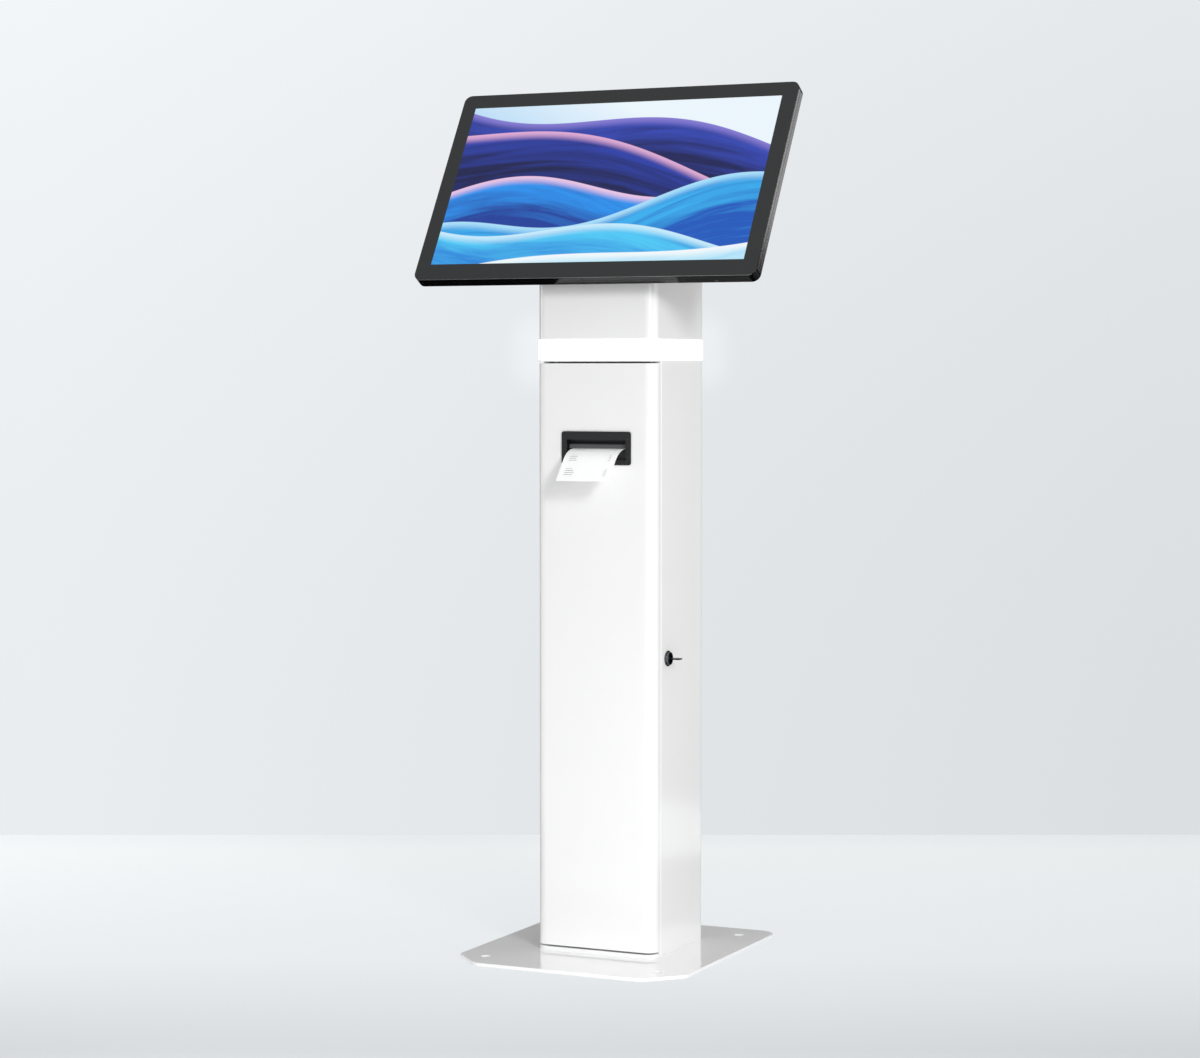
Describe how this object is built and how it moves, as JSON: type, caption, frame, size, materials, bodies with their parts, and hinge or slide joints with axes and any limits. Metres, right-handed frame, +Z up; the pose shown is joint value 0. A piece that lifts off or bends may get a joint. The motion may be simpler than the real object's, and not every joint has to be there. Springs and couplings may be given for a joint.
{
  "type": "kiosk floor stand",
  "caption": "Floor-standing kiosk: tilting touch display on a square steel column with lit collar, hinged service door, receipt printer, key lock and bevelled floor plate.",
  "frame": {"origin": "centre of the floor plate's underside, on the floor", "axes": "+Z up, the screen and the door face -Y, +X to the viewer's right in front of it"},
  "size_m": [0.52, 0.385, 1.2216],
  "materials": {
    "white_powder": "fine satin powder coat",
    "base_powder": "semi-gloss powder coat",
    "zinc": "zinc plated",
    "stainless": "satin",
    "black_steel": "satin black powder coat",
    "chrome": "polished",
    "nickel": "nickel plated",
    "opal": "opal, lit from behind",
    "light_plastic": "matt",
    "circuit": "lacquered",
    "charcoal": "fine matt texture",
    "rim_grey": "satin",
    "black_plastic": "fine matt texture",
    "cover_glass": "polished, printed black border",
    "panel": "display panel",
    "rubber": "soft",
    "paper": "thermal paper",
    "nylon": "moulded",
    "aluminium": "brushed",
    "lens_green": "clear tinted"
  },
  "bodies": {
    "stand": {"base_plate": "base_powder", "foot_plate": "white_powder", "base_fasteners": "zinc", "column_shell": "white_powder", "header_plate": "white_powder", "led_carrier": "light_plastic", "led_strip": "circuit", "led_diffuser": "opal", "neck_flange": "zinc", "neck_shell": "white_powder", "neck_cap": "white_powder", "neck_fasteners": "zinc", "neck_bracket": "black_steel", "bracket_screws": "black_steel", "pivot_fasteners": "black_steel", "friction_washers": "nylon", "equipment_plate": "zinc", "plate_screws": "zinc", "power_supply": "aluminium", "mini_computer": "black_steel", "power_inlet": "black_plastic", "hinge_barrels_frame": "white_powder", "hinge_pins": "stainless", "lock_housing": "chrome", "lock_nut": "zinc", "door_bumpers": "rubber"},
    "door": {"door_panel": "white_powder", "door_stiffener": "zinc", "door_catch": "zinc", "hinge_barrels_door": "white_powder", "printer_bezel": "black_plastic", "status_lens": "lens_green", "tear_bar": "stainless", "receipt_paper": "paper", "roll_spindle": "nylon", "printer_chassis": "black_plastic", "thermal_head": "aluminium", "head_springs": "stainless", "feed_motor": "stainless", "printer_board": "circuit", "printer_nuts": "zinc"},
    "paper_roll": {"paper_roll": "paper"},
    "platen": {"platen_roller": "rubber", "platen_gear": "nylon"},
    "motor_gear": {"motor_gear": "nylon"},
    "lock_core": {"lock_plug": "chrome", "lock_cam": "zinc", "cam_screw": "zinc"},
    "key": {"key": "nickel"},
    "display": {"cover_glass": "cover_glass", "front_frame": "rim_grey", "lcd_panel": "panel", "board_standoffs": "nylon", "driver_board": "circuit", "rear_cover": "charcoal", "housing_screws": "black_steel", "head_bracket": "black_steel", "vesa_screws": "black_steel"},
    "power_button": {"power_button": "black_plastic"}
  },
  "joints": [
    {"name": "door_hinge", "type": "hinge", "parent": "stand", "child": "door", "pos_m": [-0.09335, -0.045, 0.12], "axis": [0, 0, -1], "range_deg": [0, 115]},
    {"name": "roll_spin", "type": "hinge", "parent": "door", "child": "paper_roll", "pos_m": [0.0031, -0.008, 0.68595], "axis": [1, 0, 0], "continuous": true},
    {"name": "platen_spin", "type": "hinge", "parent": "door", "child": "platen", "pos_m": [0.0031, -0.0485, 0.70795], "axis": [1, 0, 0], "continuous": true},
    {"name": "motor_spin", "type": "hinge", "parent": "door", "child": "motor_gear", "pos_m": [0.0571, -0.034, 0.71862], "axis": [1, 0, 0], "continuous": true},
    {"name": "lock_turn", "type": "hinge", "parent": "stand", "child": "lock_core", "pos_m": [0.085, -0.022, 0.4213], "axis": [-1, 0, 0], "range_deg": [0, 90]},
    {"name": "key_pull", "type": "slide", "parent": "lock_core", "child": "key", "axis": [1, 0, 0], "range_m": [0, 0.024]},
    {"name": "display_tilt", "type": "hinge", "parent": "stand", "child": "display", "pos_m": [0, 0.0145, 1.033], "axis": [-1, 0, 0], "range_deg": [-6, 14]},
    {"name": "power_button_press", "type": "slide", "parent": "display", "child": "power_button", "axis": [0, 0.515, 0.8572], "range_m": [0, 0.0006], "stiffness_N_per_m": 1500}
  ],
  "couplings": [
    {"joint": "platen_spin", "follows": "roll_spin", "ratio": 4.6667},
    {"joint": "motor_spin", "follows": "roll_spin", "ratio": -9.3333}
  ]
}
